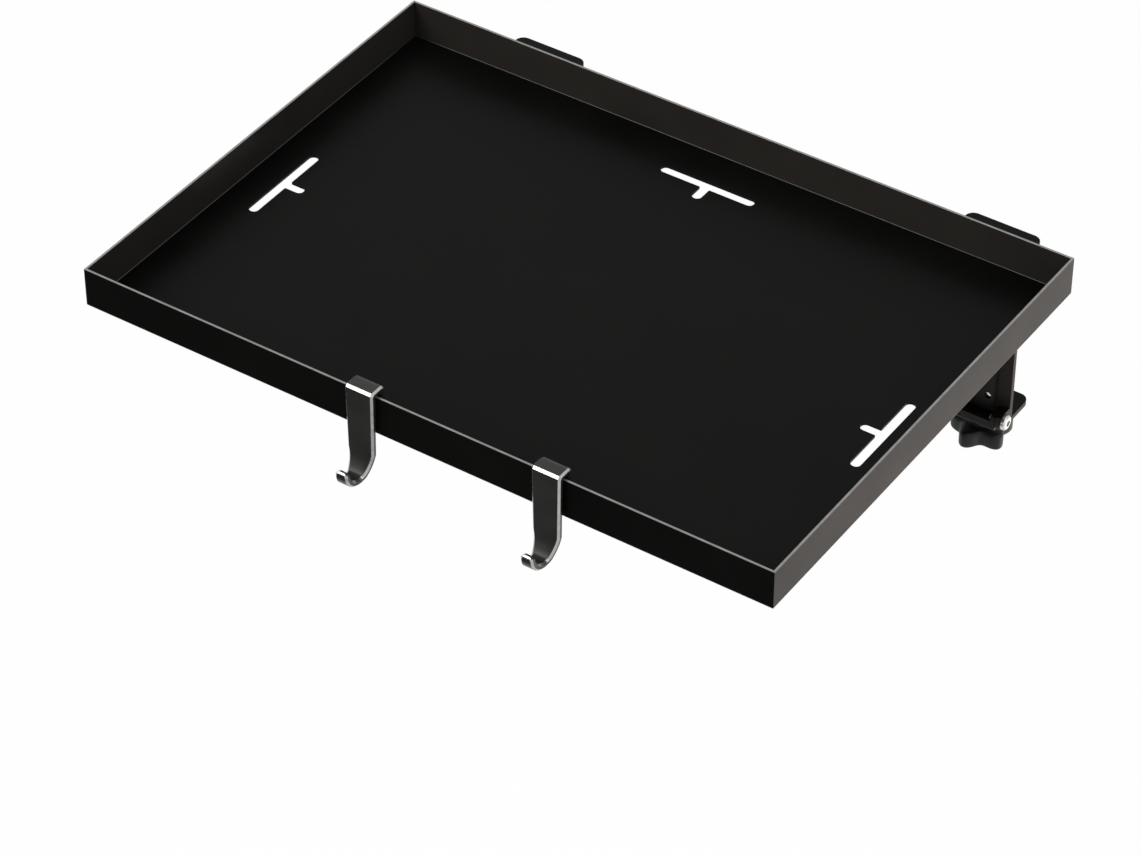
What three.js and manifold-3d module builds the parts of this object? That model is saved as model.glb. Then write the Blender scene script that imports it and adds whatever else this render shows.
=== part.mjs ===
// Folding bedside tray on two screw clamps, with two sliding hooks.
// Millimetres, +X along the bed rail, +Y towards the bed, +Z up.
// The origin is midway between the clamps, on the edge where the rail's top meets its front.
import * as THREE from "three";
import { mergeVertices } from "three/addons/utils/BufferGeometryUtils.js";
import Module from "manifold-3d";

// Tray
const trayWidth = 400;
const trayDepth = 280;
const trayHeight = 23;
const traySheet = 1.2;
const trayBend = 1.5; // outside radius between the floor and a wall

// T-shaped slots in the tray floor
const slotWidth = 5.4;
const slotLength = 56;
const slotStem = 12.5; // from the bar's centre line to the end of the stem
const slotFillet = 0.6;
const sideSlotInset = 21.5; // from the tray's side to the bar's centre line
const sideSlotSetback = 134.1; // from the tray's front to the stem's centre line
const backSlotInset = 26.4;
const backSlotAside = 2.6;

// Where the clamps and the hinge axis lie
const clampSpacing = 279;
const hingeBehindTray = 6;
const hingeBelowTray = 22.5;
const hingeToWeb = 15.5;
const hingeBelowTop = 13; // from the top jaw's upper face

// Clamp bracket: top jaw, web and two side tabs
const clampWidth = 43;
const clampSheet = 3;
const clampReach = 19; // behind the rail's front face
const clampThroat = 100; // from the liner down to the lower jaw
const clampBend = 4.5; // outside radius of the bend
const jawCorner = 5;
const linerSheet = 1.5;
const linerMargin = 2;
const tabDepth = 10; // in front of the web
const tabAboveBolt = 5;
const tabBelowBolt = 5;
const tabCorner = 4;

// Lower jaw
const jawLip = 2.8; // the front lip's rise above the jaw
const lugSheet = 3;
const lugAboveBolt = 4;
const lugCorner = 4;
const jawBoltRise = 2.5; // the side bolts' axis above the jaw
const jawBoltForward = 6; // and in front of the web

// Hinge base: a channel on the front of the web
const earSheet = 2.5;
const earAbove = 8.5; // above the hinge axis
const earBelow = 15;
const earFront = 10; // in front of the hinge axis
const earCorner = 8;
const baseBottomGap = 5.8; // from the lower jaw up to the base's lower edge
const baseCorner = 4;
const spareHoleRadius = 2;
const spareHoleAside = 9.3; // from the clamp's middle
const spareHoleRise = 6.5; // above the base's lower edge
const webHoleRadius = 4; // the web's wider holes behind the spare ones
const webHoleAside = 6.8;
const webHoleRise = 2.3;
const rivetRadius = 2.4;
const rivetHeadRadius = 4;
const rivetHeadHeight = 1.8;
const rivetDrops = [24, 58]; // below the hinge axis

// Tray bracket: a channel under the tray
const bracketWidth = 18;
const bracketSheet = 2;
const bracketUnder = 44; // under the tray, from its back wall
const bracketBehind = 22; // behind the tray's back wall
const bracketNose = 8; // height of the channel's front end
const bracketBossRadius = 9.5;
const bracketCorner = 6; // of its back end, seen from above
const studSetbacks = [13, 34]; // from the tray's back wall
const studRadius = 2;
const studLength = 7;
const studNutFlats = 7;
const studNutHeight = 3.2;

// Hinge bolt, jaw bolts and washers
const hingeBoltRadius = 3;
const hingeHeadRadius = 5;
const hingeHeadHeight = 3.3;
const hingeWasherRadius = 6.2;
const hingeWasherSheet = 1;
const hingeNutFlats = 10;
const hingeNutHeight = 5;
const frictionWasherSheet = 0.7;
const frictionWasherRadius = 7;
const jawBoltRadius = 2;
const jawHeadRadius = 4.2;
const jawHeadHeight = 2.6;
const boltTail = 1.5; // thread that stands out of a nut or a lug
const socketShare = 0.46; // of a head's radius
const socketDepthShare = 0.6; // of a head's height
const headCrownShare = 0.72; // of a head's radius, the flat on its top
const headRimShare = 0.5; // of a head's height, its straight side

// Clamp screw, knob and pad
const screwRadius = 4;
const screwBehindRail = 8.6; // the screw's axis behind the rail's front face
const padTopDrop = 18; // from the liner down to the pad, with the screw run right up
const bushFlangeRadius = 7.5;
const bushSpigotRadius = 5.7;
const bushDepth = 8;
const padRadius = 6.4;
const padRubber = 2;
const padCup = 3.5;
const padNeckRadius = 5.6;
const padNeck = 4.5;
const padSocketDepth = 5.5; // how far the screw's tip goes into the cup
const knobRadius = 17.2;
const knobValleyRadius = 11.7;
const knobLobes = 5;
const knobHeight = 10.5;
const knobHubRadius = 8;
const knobHubHeight = 5.5;
const knobEdge = 1.2;
const knobTurnDegrees = 46;
const knobBoreDepth = 12;
const knobStepsPerLobe = 8;
const screwChamfer = 0.8;

// Hooks
const hookCentres = [-30.6, 76.8];
const hookSheet = 3.5;
const hookWidths = [
  // distance down the leg from the rim, width
  [0, 16.2],
  [34, 15.3],
  [46, 10.7],
  [48.6, 9.4],
  [64, 7],
];
const hookSaddle = 4.5; // gap between the legs
const hookInnerLeg = 14; // below the rim
const hookSaddleBend = 2.6; // centre line radius over the wall
const hookStraight = 34.6; // of the front leg, below the rim
const hookSweepRadius = 16.3; // centre line radius where the leg turns forward
const hookSweepDegrees = 42;
const hookCreaseRadius = 4.4; // and where it is bent sharply into the J
const hookCreaseDegrees = 35;
const hookRadius = 7.9; // centre line radius of the J
const hookCurlDegrees = 110;
const hookTipRise = 0.9;
const hookChamfer = 1;
const hookTipRound = 2; // length of the rounded tip
const hookTipShare = 0.4; // size of the tip's last ring

// Clearances
const seatGap = 0.1; // between pieces that are fastened together
const runGap = 0.15; // round a turning shaft
const restGap = 0.3; // where a loose piece rests or passes
const cutOverrun = 2;

// Facets on round pieces
const roundSteps = 16;
const arcSteps = 4;

const wasm = await Module();
wasm.setup();

// Closed geometry to solid, and back
function solidOf(geometry) {
  const bare = geometry.clone();
  bare.deleteAttribute("normal");
  bare.deleteAttribute("uv");
  const merged = mergeVertices(bare, 1e-4);
  const vertProperties = new Float32Array(merged.attributes.position.array);
  const triVerts = new Uint32Array(merged.index.array);
  return new wasm.Manifold(new wasm.Mesh({ numProp: 3, vertProperties, triVerts }));
}

function geometryOf(solid) {
  const mesh = solid.getMesh();
  const geometry = new THREE.BufferGeometry();
  geometry.setAttribute("position", new THREE.BufferAttribute(new Float32Array(mesh.vertProperties), 3));
  geometry.setIndex(new THREE.BufferAttribute(new Uint32Array(mesh.triVerts), 1));
  geometry.computeVertexNormals();
  return geometry;
}

function join(...geometries) {
  return geometryOf(geometries.map(solidOf).reduce((whole, next) => whole.add(next)));
}

function cut(geometry, ...cutters) {
  return geometryOf(cutters.map(solidOf).reduce((whole, next) => whole.subtract(next), solidOf(geometry)));
}

function common(first, second) {
  return geometryOf(solidOf(first).intersect(solidOf(second)));
}

// Outlines swept straight between two places on one axis
function sweep(shape, length) {
  return new THREE.ExtrudeGeometry(shape, { depth: length, bevelEnabled: false, curveSegments: arcSteps });
}

function alongX(shapeYZ, from, to) {
  const turn = new THREE.Matrix4().makeBasis(
    new THREE.Vector3(0, 1, 0),
    new THREE.Vector3(0, 0, 1),
    new THREE.Vector3(1, 0, 0),
  );
  return sweep(shapeYZ, to - from).applyMatrix4(turn).translate(from, 0, 0);
}

function alongY(shapeXZ, from, to) {
  return sweep(shapeXZ, to - from).rotateX(Math.PI / 2).translate(0, to, 0);
}

function alongZ(shapeXY, from, to) {
  return sweep(shapeXY, to - from).translate(0, 0, from);
}

// Rod of `sides` facets along an axis, between two places on it, through a point across it
function rodZ(radius, from, to, x, y, sides = roundSteps) {
  const rod = new THREE.CylinderGeometry(radius, radius, to - from, sides);
  return rod.rotateX(Math.PI / 2).translate(x, y, (from + to) / 2);
}

function rodX(radius, from, to, y, z, sides = roundSteps) {
  const rod = new THREE.CylinderGeometry(radius, radius, to - from, sides);
  return rod.rotateZ(Math.PI / 2).translate((from + to) / 2, y, z);
}

function rodY(radius, from, to, x, z, sides = roundSteps) {
  return new THREE.CylinderGeometry(radius, radius, to - from, sides).translate(x, (from + to) / 2, z);
}

// Turned piece from [radius, place along the axis] pairs, its axis along +Y
function turned(profile) {
  return new THREE.LatheGeometry(profile.map(([radius, place]) => new THREE.Vector2(radius, place)), roundSteps);
}

// The same with its axis along +X or +Z
function turnedX(profile) {
  return turned(profile).rotateZ(-Math.PI / 2);
}

function turnedZ(profile) {
  return turned(profile).rotateX(Math.PI / 2);
}

// Profile of a tube between two places on its axis
function ring(inner, outer, from, to) {
  return [
    [inner, from],
    [outer, from],
    [outer, to],
    [inner, to],
    [inner, from],
  ];
}

// Rectangle from low to high corner, with its own radius at each corner, anticlockwise from the low one
function roundedRectangle(lowA, lowB, highA, highB, radii) {
  const [r0, r1, r2, r3] = radii;
  const shape = new THREE.Shape();
  shape.moveTo(lowA + r0, lowB);
  shape.lineTo(highA - r1, lowB);
  if (r1) shape.absarc(highA - r1, lowB + r1, r1, -Math.PI / 2, 0);
  shape.lineTo(highA, highB - r2);
  if (r2) shape.absarc(highA - r2, highB - r2, r2, 0, Math.PI / 2);
  shape.lineTo(lowA + r3, highB);
  if (r3) shape.absarc(lowA + r3, highB - r3, r3, Math.PI / 2, Math.PI);
  shape.lineTo(lowA, lowB + r0);
  if (r0) shape.absarc(lowA + r0, lowB + r0, r0, Math.PI, 1.5 * Math.PI);
  return shape;
}

function plate(lowA, lowB, highA, highB) {
  return roundedRectangle(lowA, lowB, highA, highB, [0, 0, 0, 0]);
}

const group = new THREE.Group();

// Finishes
const finishes = {
  powderCoat: new THREE.MeshStandardMaterial({ color: 0x141414, roughness: 0.42, metalness: 0.35 }),
  blackNickel: new THREE.MeshStandardMaterial({ color: 0x2a2a2c, roughness: 0.22, metalness: 0.85 }),
  blackPlastic: new THREE.MeshStandardMaterial({ color: 0x17171a, roughness: 0.5, metalness: 0 }),
  zinc: new THREE.MeshStandardMaterial({ color: 0xb9b9b6, roughness: 0.3, metalness: 0.9 }),
  rubber: new THREE.MeshStandardMaterial({ color: 0x1b1b1b, roughness: 0.85, metalness: 0 }),
  nylon: new THREE.MeshStandardMaterial({ color: 0xd8d5cc, roughness: 0.55, metalness: 0 }),
};

function add(name, geometry, finish, centreX = 0) {
  const mesh = new THREE.Mesh(geometry, finishes[finish]);
  mesh.name = name;
  mesh.position.x = centreX;
  group.add(mesh);
}

// Levels and places that the sizes above give
const webFront = -clampSheet;
const topFace = linerSheet + clampSheet;
const jawTop = -clampThroat;
const jawBottom = jawTop - clampSheet;
const hingeY = webFront - hingeToWeb;
const hingeZ = topFace - hingeBelowTop;
const trayBack = hingeY - hingeBehindTray;
const trayFront = trayBack - trayDepth;
const trayBottom = hingeZ + hingeBelowTray;
const trayRim = trayBottom + trayHeight;
const jawBoltY = webFront - jawBoltForward;
const jawBoltZ = jawTop + jawBoltRise;

// Tray: one sheet with its four walls bent up
function trayPan() {
  const half = trayWidth / 2;
  const innerBend = trayBend - traySheet;
  const outerAcross = roundedRectangle(-half, trayBottom, half, trayRim, [trayBend, trayBend, 0, 0]);
  const outerAlong = roundedRectangle(trayFront, trayBottom, trayBack, trayRim, [trayBend, trayBend, 0, 0]);
  const innerAcross = roundedRectangle(
    -half + traySheet,
    trayBottom + traySheet,
    half - traySheet,
    trayRim + cutOverrun,
    [innerBend, innerBend, 0, 0],
  );
  const innerAlong = roundedRectangle(
    trayFront + traySheet,
    trayBottom + traySheet,
    trayBack - traySheet,
    trayRim + cutOverrun,
    [innerBend, innerBend, 0, 0],
  );
  const outside = common(alongY(outerAcross, trayFront, trayBack), alongX(outerAlong, -half, half));
  const inside = common(alongY(innerAcross, trayFront, trayBack), alongX(innerAlong, -half, half));
  const studs = [];
  for (const side of [-1, 1]) {
    for (const setback of studSetbacks) {
      const x = (side * clampSpacing) / 2;
      studs.push(rodZ(studRadius, trayBottom - studLength, trayBottom + traySheet / 2, x, trayBack - setback));
    }
  }
  return join(cut(outside, inside, ...traySlots()), ...studs);
}

// The slots, each a bar with a short stem towards the tray's middle
function traySlots() {
  const from = trayBottom - cutOverrun;
  const to = trayBottom + traySheet + cutOverrun;
  const back = alongZ(slotShape(), from, to).translate(backSlotAside, trayBack - backSlotInset, 0);
  const aside = trayWidth / 2 - sideSlotInset;
  const setback = trayFront + sideSlotSetback;
  const left = alongZ(slotShape(), from, to).rotateZ(Math.PI / 2).translate(-aside, setback, 0);
  const right = alongZ(slotShape(), from, to).rotateZ(-Math.PI / 2).translate(aside, setback, 0);
  return [back, left, right];
}

// One slot about its bar's middle, the bar along the first axis and the stem downwards
function slotShape() {
  const r = slotWidth / 2;
  const half = slotLength / 2 - r;
  const f = slotFillet;
  const foot = slotStem - r;
  const quarter = Math.PI / 2;
  const shape = new THREE.Shape();
  shape.moveTo(-half, r);
  shape.lineTo(half, r);
  shape.absarc(half, 0, r, quarter, -quarter, true);
  shape.lineTo(r + f, -r);
  shape.absarc(r + f, -r - f, f, quarter, 2 * quarter);
  shape.lineTo(r, -foot);
  shape.absarc(0, -foot, r, 0, -2 * quarter, true);
  shape.lineTo(-r, -r - f);
  shape.absarc(-r - f, -r - f, f, 0, quarter);
  shape.lineTo(-half, -r);
  shape.absarc(-half, 0, r, -quarter, -3 * quarter, true);
  return shape;
}

// Side view of a hook's centre line, from the inner leg's end over the wall to the tip of the J.
// Each place has its heading, its distance along the strip and its distance to the tip.
function hookPlaces() {
  const frontLeg = trayFront - restGap - hookSheet / 2;
  const span = hookSaddle + hookSheet;
  const top = trayRim + restGap + hookSheet / 2;
  const { degToRad } = THREE.MathUtils;
  const places = [];
  let y = frontLeg + span;
  let z = trayRim - hookInnerLeg;
  let heading = Math.PI / 2;
  let gone = 0;
  const mark = () => places.push({ y, z, heading, gone });
  const run = (length, steps = 1) => {
    for (let i = 0; i < steps; i += 1) {
      y += (Math.cos(heading) * length) / steps;
      z += (Math.sin(heading) * length) / steps;
      gone += length / steps;
      mark();
    }
  };
  const turn = (radius, angle, steps) => {
    const side = Math.sign(angle);
    const centreY = y - side * Math.sin(heading) * radius;
    const centreZ = z + side * Math.cos(heading) * radius;
    for (let i = 0; i < steps; i += 1) {
      heading += angle / steps;
      y = centreY + side * Math.sin(heading) * radius;
      z = centreZ - side * Math.cos(heading) * radius;
      gone += (radius * Math.abs(angle)) / steps;
      mark();
    }
  };
  mark();
  run(top - hookSaddleBend - z);
  turn(hookSaddleBend, Math.PI / 2, arcSteps);
  run(span - 2 * hookSaddleBend);
  turn(hookSaddleBend, Math.PI / 2, arcSteps);
  const legStart = gone;
  run(z - trayRim + hookStraight, 2 * arcSteps);
  turn(hookSweepRadius, -degToRad(hookSweepDegrees), 2 * arcSteps);
  turn(hookCreaseRadius, -degToRad(hookCreaseDegrees), arcSteps);
  turn(hookRadius, -degToRad(hookCurlDegrees), 3 * arcSteps);
  run(hookTipRise, 1);
  return { places, legStart, length: gone };
}

// A hook's width at a distance down its front leg
function hookWidthAt(down) {
  const next = hookWidths.findIndex(([place]) => place > down);
  if (next === 0) return hookWidths[0][1];
  if (next < 0) return hookWidths.at(-1)[1];
  const [above, width] = hookWidths[next - 1];
  const [below, narrower] = hookWidths[next];
  return width + ((narrower - width) * (down - above)) / (below - above);
}

// Hook: a strip over the wall that narrows down its leg and again into the J
function hook() {
  const { places, legStart, length } = hookPlaces();
  const rings = places.map(({ y, z, heading, gone }) => {
    const fromTip = Math.min(1, (length - gone) / hookTipRound);
    const size = Math.max(hookTipShare, Math.sqrt(1 - (1 - fromTip) ** 2));
    return { y, z, heading, width: hookWidthAt(gone - legStart) * size, sheet: hookSheet * size };
  });
  return ribbon(rings);
}

// A closed strip through rings in the YZ plane, with its long edges chamfered
function ribbon(rings) {
  const positions = [];
  for (const { y, z, heading, width, sheet } of rings) {
    const a = width / 2;
    const b = sheet / 2;
    const c = Math.min(hookChamfer, b / 2);
    const section = [
      [a - c, -b],
      [a, c - b],
      [a, b - c],
      [a - c, b],
      [c - a, b],
      [-a, b - c],
      [-a, c - b],
      [c - a, -b],
    ];
    for (const [across, out] of section) {
      positions.push(across, y - Math.sin(heading) * out, z + Math.cos(heading) * out);
    }
  }
  const around = 8;
  const index = [];
  for (let i = 0; i + 1 < rings.length; i += 1) {
    for (let j = 0; j < around; j += 1) {
      const next = (j + 1) % around;
      const [p, q] = [i * around + j, i * around + next];
      index.push(p, q + around, q, p, p + around, q + around);
    }
  }
  const last = (rings.length - 1) * around;
  for (let j = 1; j + 1 < around; j += 1) {
    index.push(0, j, j + 1);
    index.push(last, last + j + 1, last + j);
  }
  const geometry = new THREE.BufferGeometry();
  geometry.setAttribute("position", new THREE.BufferAttribute(new Float32Array(positions), 3));
  geometry.setIndex(index);
  geometry.computeVertexNormals();
  return geometry;
}

// Clamp bracket: the top jaw bent back from the web, with two side tabs for the lower jaw's bolts
function clampBracket() {
  const half = clampWidth / 2;
  const inner = clampBend - clampSheet;
  const side = new THREE.Shape();
  const low = jawTop + restGap;
  side.moveTo(0, low);
  side.lineTo(0, linerSheet - inner);
  side.absarc(inner, linerSheet - inner, inner, Math.PI, Math.PI / 2, true);
  side.lineTo(clampReach, linerSheet);
  side.lineTo(clampReach, topFace);
  side.lineTo(webFront + clampBend, topFace);
  side.absarc(webFront + clampBend, topFace - clampBend, clampBend, Math.PI / 2, Math.PI);
  side.lineTo(webFront, low);
  const plan = roundedRectangle(-half, webFront - cutOverrun, half, clampReach, [0, 0, jawCorner, jawCorner]);
  const plateAndWeb = common(alongX(side, -half, half), alongZ(plan, low - cutOverrun, topFace + cutOverrun));
  const tabs = [-1, 1].map((hand) => {
    const outline = roundedRectangle(
      webFront - tabDepth,
      jawBoltZ - tabBelowBolt,
      webFront + clampSheet / 2,
      jawBoltZ + tabAboveBolt,
      [tabCorner, 0, 0, tabCorner],
    );
    const outer = hand * half;
    const innerFace = hand * (half - clampSheet);
    const tab = alongX(outline, Math.min(outer, innerFace), Math.max(outer, innerFace));
    const belowWeb = alongX(
      plate(webFront, jawBoltZ - tabBelowBolt - cutOverrun, clampSheet, low),
      -half - cutOverrun,
      half + cutOverrun,
    );
    return cut(tab, belowWeb);
  });
  const holes = [
    rodX(jawBoltRadius + runGap, -half - cutOverrun, half + cutOverrun, jawBoltY, jawBoltZ),
    ...rivetDrops.map((drop) => rodY(rivetRadius + seatGap, webFront - cutOverrun, cutOverrun, 0, hingeZ - drop)),
    ...twoHoles(webHoleRadius, webHoleAside, webHoleRise, webFront - cutOverrun, cutOverrun),
  ];
  return cut(join(plateAndWeb, ...tabs), ...holes);
}

// Outer half width, base thickness and lower edge of the hinge base
const earInner = bracketWidth / 2 + frictionWasherSheet + 2 * runGap;
const earOuter = earInner + earSheet;
const baseFront = webFront - seatGap - earSheet;
const baseBottom = jawTop + baseBottomGap;

// A hole on each side of the clamp's middle, its height taken from the hinge base's lower edge
function twoHoles(radius, aside, rise, fromY, toY) {
  return [-1, 1].map((hand) => rodY(radius, fromY, toY, hand * aside, baseBottom + rise));
}

// Hinge base: a flat back with rounded lower corners and two ears
function hingeBase() {
  const back = webFront - seatGap;
  const top = hingeZ + earAbove;
  const base = alongY(
    roundedRectangle(-earOuter, baseBottom, earOuter, top, [baseCorner, baseCorner, 0, 0]),
    baseFront,
    back,
  );
  const front = hingeY - earFront;
  const ear = new THREE.Shape();
  ear.moveTo(back, hingeZ - earBelow);
  ear.lineTo(back, top);
  ear.lineTo(front + earCorner, top);
  ear.absarc(front + earCorner, top - earCorner, earCorner, Math.PI / 2, Math.PI);
  ear.lineTo(front, hingeZ - earCorner / 2);
  ear.absarc(front + earCorner, hingeZ - earCorner / 2, earCorner, Math.PI, 1.25 * Math.PI);
  const ears = [alongX(ear, -earOuter, -earInner), alongX(ear, earInner, earOuter)];
  const holes = [
    rodX(hingeBoltRadius + runGap, -earOuter - cutOverrun, earOuter + cutOverrun, hingeY, hingeZ),
    ...rivetDrops.map((drop) => rodY(rivetRadius + seatGap, baseFront - cutOverrun, back + cutOverrun, 0, hingeZ - drop)),
    ...twoHoles(spareHoleRadius, spareHoleAside, spareHoleRise, baseFront - cutOverrun, back + cutOverrun),
  ];
  return cut(join(base, ...ears), ...holes);
}

// Rivet: flush at the back of the web, domed at the front of the hinge base
function rivet(drop) {
  const seat = seatGap - baseFront;
  const rim = rivetHeadHeight / 2;
  const dome = turned([
    [0, 0],
    [rivetRadius, 0],
    [rivetRadius, seat],
    [rivetHeadRadius, seat],
    [rivetHeadRadius, seat + rim],
    [rivetHeadRadius - rim, seat + rivetHeadHeight],
    [0, seat + rivetHeadHeight],
  ]);
  return dome.rotateX(Math.PI).translate(0, 0, hingeZ - drop);
}

// Tray bracket: a channel whose closed side lies under the tray, its sides pierced for the hinge bolt
function trayBracket() {
  const half = bracketWidth / 2;
  const top = trayBottom - seatGap;
  const front = trayBack - bracketUnder;
  const back = trayBack + bracketBehind;
  // Angle on the boss where a straight edge from a corner meets it
  const touch = (y, z, way) => {
    const spread = Math.acos(bracketBossRadius / Math.hypot(y - hingeY, z - hingeZ));
    return Math.atan2(z - hingeZ, y - hingeY) + way * spread;
  };
  const nose = touch(front, top - bracketNose, 1);
  const heel = touch(back, top - bracketSheet, -1) + 2 * Math.PI;
  const side = new THREE.Shape();
  side.moveTo(front, top);
  side.lineTo(front, top - bracketNose);
  side.absarc(hingeY, hingeZ, bracketBossRadius, nose, heel);
  side.lineTo(back, top - bracketSheet);
  side.lineTo(back, top);
  const corner = bracketCorner;
  const plan = roundedRectangle(-half, front, half, back, [0, 0, corner, corner]);
  const closed = alongZ(plate(-half, front, half, back), top - bracketSheet, top);
  const sides = [alongX(side, -half, bracketSheet - half), alongX(side, half - bracketSheet, half)];
  const studHoles = studSetbacks.map((setback) =>
    rodZ(studRadius + seatGap, top - bracketSheet - cutOverrun, top + cutOverrun, 0, trayBack - setback),
  );
  const pivot = rodX(hingeBoltRadius + runGap, -half - cutOverrun, half + cutOverrun, hingeY, hingeZ);
  const trimmed = common(join(closed, ...sides), alongZ(plan, hingeZ - bracketBossRadius - cutOverrun, top));
  return cut(trimmed, pivot, ...studHoles);
}

// Hexagon nut from zero along +Y, two of its corners along Z
function nut(flats, height, boltRadius) {
  const corner = flats / Math.sqrt(3);
  const body = rodY(corner, 0, height, 0, 0, 6);
  return cut(body, rodY(boltRadius + seatGap, -cutOverrun, height + cutOverrun, 0, 0));
}

// Round-headed bolt with a hexagon socket, its head's seat at zero and its shank along +X
function bolt(radius, headRadius, headHeight, length) {
  const body = turned([
    [0, -headHeight],
    [headRadius * headCrownShare, -headHeight],
    [headRadius, -headHeight * headRimShare],
    [headRadius, 0],
    [radius, 0],
    [radius, length],
    [0, length],
  ]);
  const socketEnd = headHeight * (socketDepthShare - 1);
  const socket = rodY(headRadius * socketShare, -headHeight - cutOverrun, socketEnd, 0, 0, 6);
  return cut(body, socket).rotateZ(-Math.PI / 2);
}

// Faces of the lower jaw's lugs, inside the bracket's tabs
const lugOuter = clampWidth / 2 - clampSheet - restGap;
const lugInner = lugOuter - lugSheet;

// Lower jaw: a plate behind the web, a lip in front of it and two lugs turned up at the sides
function lowerJaw() {
  const half = clampWidth / 2;
  const lipFront = webFront - tabDepth;
  const rearFront = webFront + restGap;
  const lipSide = roundedRectangle(
    lipFront,
    jawBottom,
    lipFront + clampSheet,
    jawTop + jawLip,
    [clampSheet / 2, 0, 0, 0],
  );
  const lug = roundedRectangle(
    lipFront,
    jawBottom,
    webFront - restGap,
    jawBoltZ + lugAboveBolt,
    [clampSheet / 2, 0, 0, lugCorner],
  );
  const rear = roundedRectangle(-half, rearFront, half, clampReach, [0, 0, jawCorner, jawCorner]);
  const body = join(
    alongX(lipSide, -lugOuter, lugOuter),
    alongZ(plate(-lugOuter, lipFront + clampSheet / 2, lugOuter, rearFront + clampSheet), jawBottom, jawTop),
    alongZ(rear, jawBottom, jawTop),
    alongX(lug, -lugOuter, -lugInner),
    alongX(lug, lugInner, lugOuter),
  );
  return cut(
    body,
    rodX(jawBoltRadius + seatGap, -half, half, jawBoltY, jawBoltZ),
    rodZ(bushSpigotRadius + seatGap, jawBottom - cutOverrun, jawTop + cutOverrun, 0, screwBehindRail),
  );
}

// Levels along the clamp screw
const bushLow = jawBottom - seatGap - bushDepth;
const knobTop = bushLow - restGap;
const lobesTop = knobTop - knobHubHeight;
const knobLow = lobesTop - knobHeight;
const screwLow = knobTop - knobBoreDepth + restGap;
const rubberTop = -padTopDrop;
const cupTop = rubberTop - padRubber - seatGap;
const cupLow = cupTop - padCup;
const neckLow = cupLow - padNeck;
const screwTop = neckLow + padSocketDepth - restGap;
const boreRadius = screwRadius + runGap;

function threadBush() {
  const seat = jawBottom - seatGap;
  return turnedZ([
    [boreRadius, bushLow],
    [bushFlangeRadius, bushLow],
    [bushFlangeRadius, seat],
    [bushSpigotRadius, seat],
    [bushSpigotRadius, jawTop],
    [boreRadius, jawTop],
    [boreRadius, bushLow],
  ]).translate(0, screwBehindRail, 0);
}

function clampScrew() {
  const tip = screwRadius - screwChamfer;
  return turnedZ([
    [0, screwLow],
    [tip, screwLow],
    [screwRadius, screwLow + screwChamfer],
    [screwRadius, screwTop - screwChamfer],
    [tip, screwTop],
    [0, screwTop],
  ]).translate(0, screwBehindRail, 0);
}

// Swivel pad: a cup that turns on the screw's tip, faced with rubber
function padCupPiece() {
  return turnedZ([
    [0, neckLow + padSocketDepth],
    [boreRadius, neckLow + padSocketDepth],
    [boreRadius, neckLow],
    [padNeckRadius, neckLow],
    [padNeckRadius, cupLow],
    [padRadius, cupLow + padCup / 3],
    [padRadius, cupTop],
    [0, cupTop],
  ]).translate(0, screwBehindRail, 0);
}

function padRubberPiece() {
  return rodZ(padRadius, rubberTop - padRubber, rubberTop, 0, screwBehindRail);
}

// Knob: lobes on a wave round a circle, with a hub above and a blind bore for the screw
function starKnob() {
  const mean = (knobRadius + knobValleyRadius) / 2;
  const swing = (knobRadius - knobValleyRadius) / 2;
  const steps = knobLobes * knobStepsPerLobe;
  const turn = THREE.MathUtils.degToRad(knobTurnDegrees);
  const outline = [];
  for (let i = 0; i < steps; i += 1) {
    const angle = (2 * Math.PI * i) / steps;
    const radius = mean + swing * Math.cos(knobLobes * angle);
    outline.push(new THREE.Vector2(radius * Math.cos(angle + turn), radius * Math.sin(angle + turn)));
  }
  const lobes = new THREE.ExtrudeGeometry(new THREE.Shape(outline), {
    depth: knobHeight - 2 * knobEdge,
    bevelThickness: knobEdge,
    bevelSize: knobEdge,
    bevelOffset: -knobEdge,
    bevelSegments: 1,
  }).translate(0, 0, knobLow + knobEdge);
  const hub = turnedZ([
    [0, knobLow + knobHeight / 2],
    [knobHubRadius, knobLow + knobHeight / 2],
    [knobHubRadius, knobTop - knobEdge],
    [knobHubRadius - knobEdge, knobTop],
    [0, knobTop],
  ]);
  const bore = rodZ(boreRadius, knobTop - knobBoreDepth, knobTop + cutOverrun, 0, 0);
  return cut(join(lobes, hub), bore).translate(0, screwBehindRail, 0);
}

function topLiner() {
  const half = clampWidth / 2 - linerMargin;
  const corner = jawCorner - linerMargin;
  const plan = roundedRectangle(-half, linerMargin, half, clampReach - linerMargin, [0, 0, corner, corner]);
  return alongZ(plan, 0, linerSheet - seatGap);
}

// Everything of one clamp and its hinge, at its own place along the rail
function addClamp(side, centre) {
  const put = (name, geometry, finish) => add(`${side}_${name}`, geometry, finish, centre);
  put("clamp_bracket", clampBracket(), "powderCoat");
  put("top_liner", topLiner(), "rubber");
  put("hinge_base", hingeBase(), "powderCoat");
  put("rivet_upper", rivet(rivetDrops[0]), "powderCoat");
  put("rivet_lower", rivet(rivetDrops[1]), "powderCoat");
  put("lower_jaw", lowerJaw(), "powderCoat");
  addHinge(put);
  addJawBolts(put);
  put("thread_bush", threadBush(), "zinc");
  put("clamp_screw", clampScrew(), "zinc");
  put("star_knob", starKnob(), "blackPlastic");
  put("pad_cup", padCupPiece(), "zinc");
  put("pad_rubber", padRubberPiece(), "rubber");
  put("tray_bracket", trayBracket(), "powderCoat");
  for (const [place, setback] of [["back", studSetbacks[0]], ["front", studSetbacks[1]]]) {
    const studNut = nut(studNutFlats, studNutHeight, studRadius).rotateX(-Math.PI / 2);
    const seat = trayBottom - 2 * seatGap - bracketSheet;
    put(`stud_nut_${place}`, studNut.translate(0, trayBack - setback, seat), "zinc");
  }
}

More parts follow.
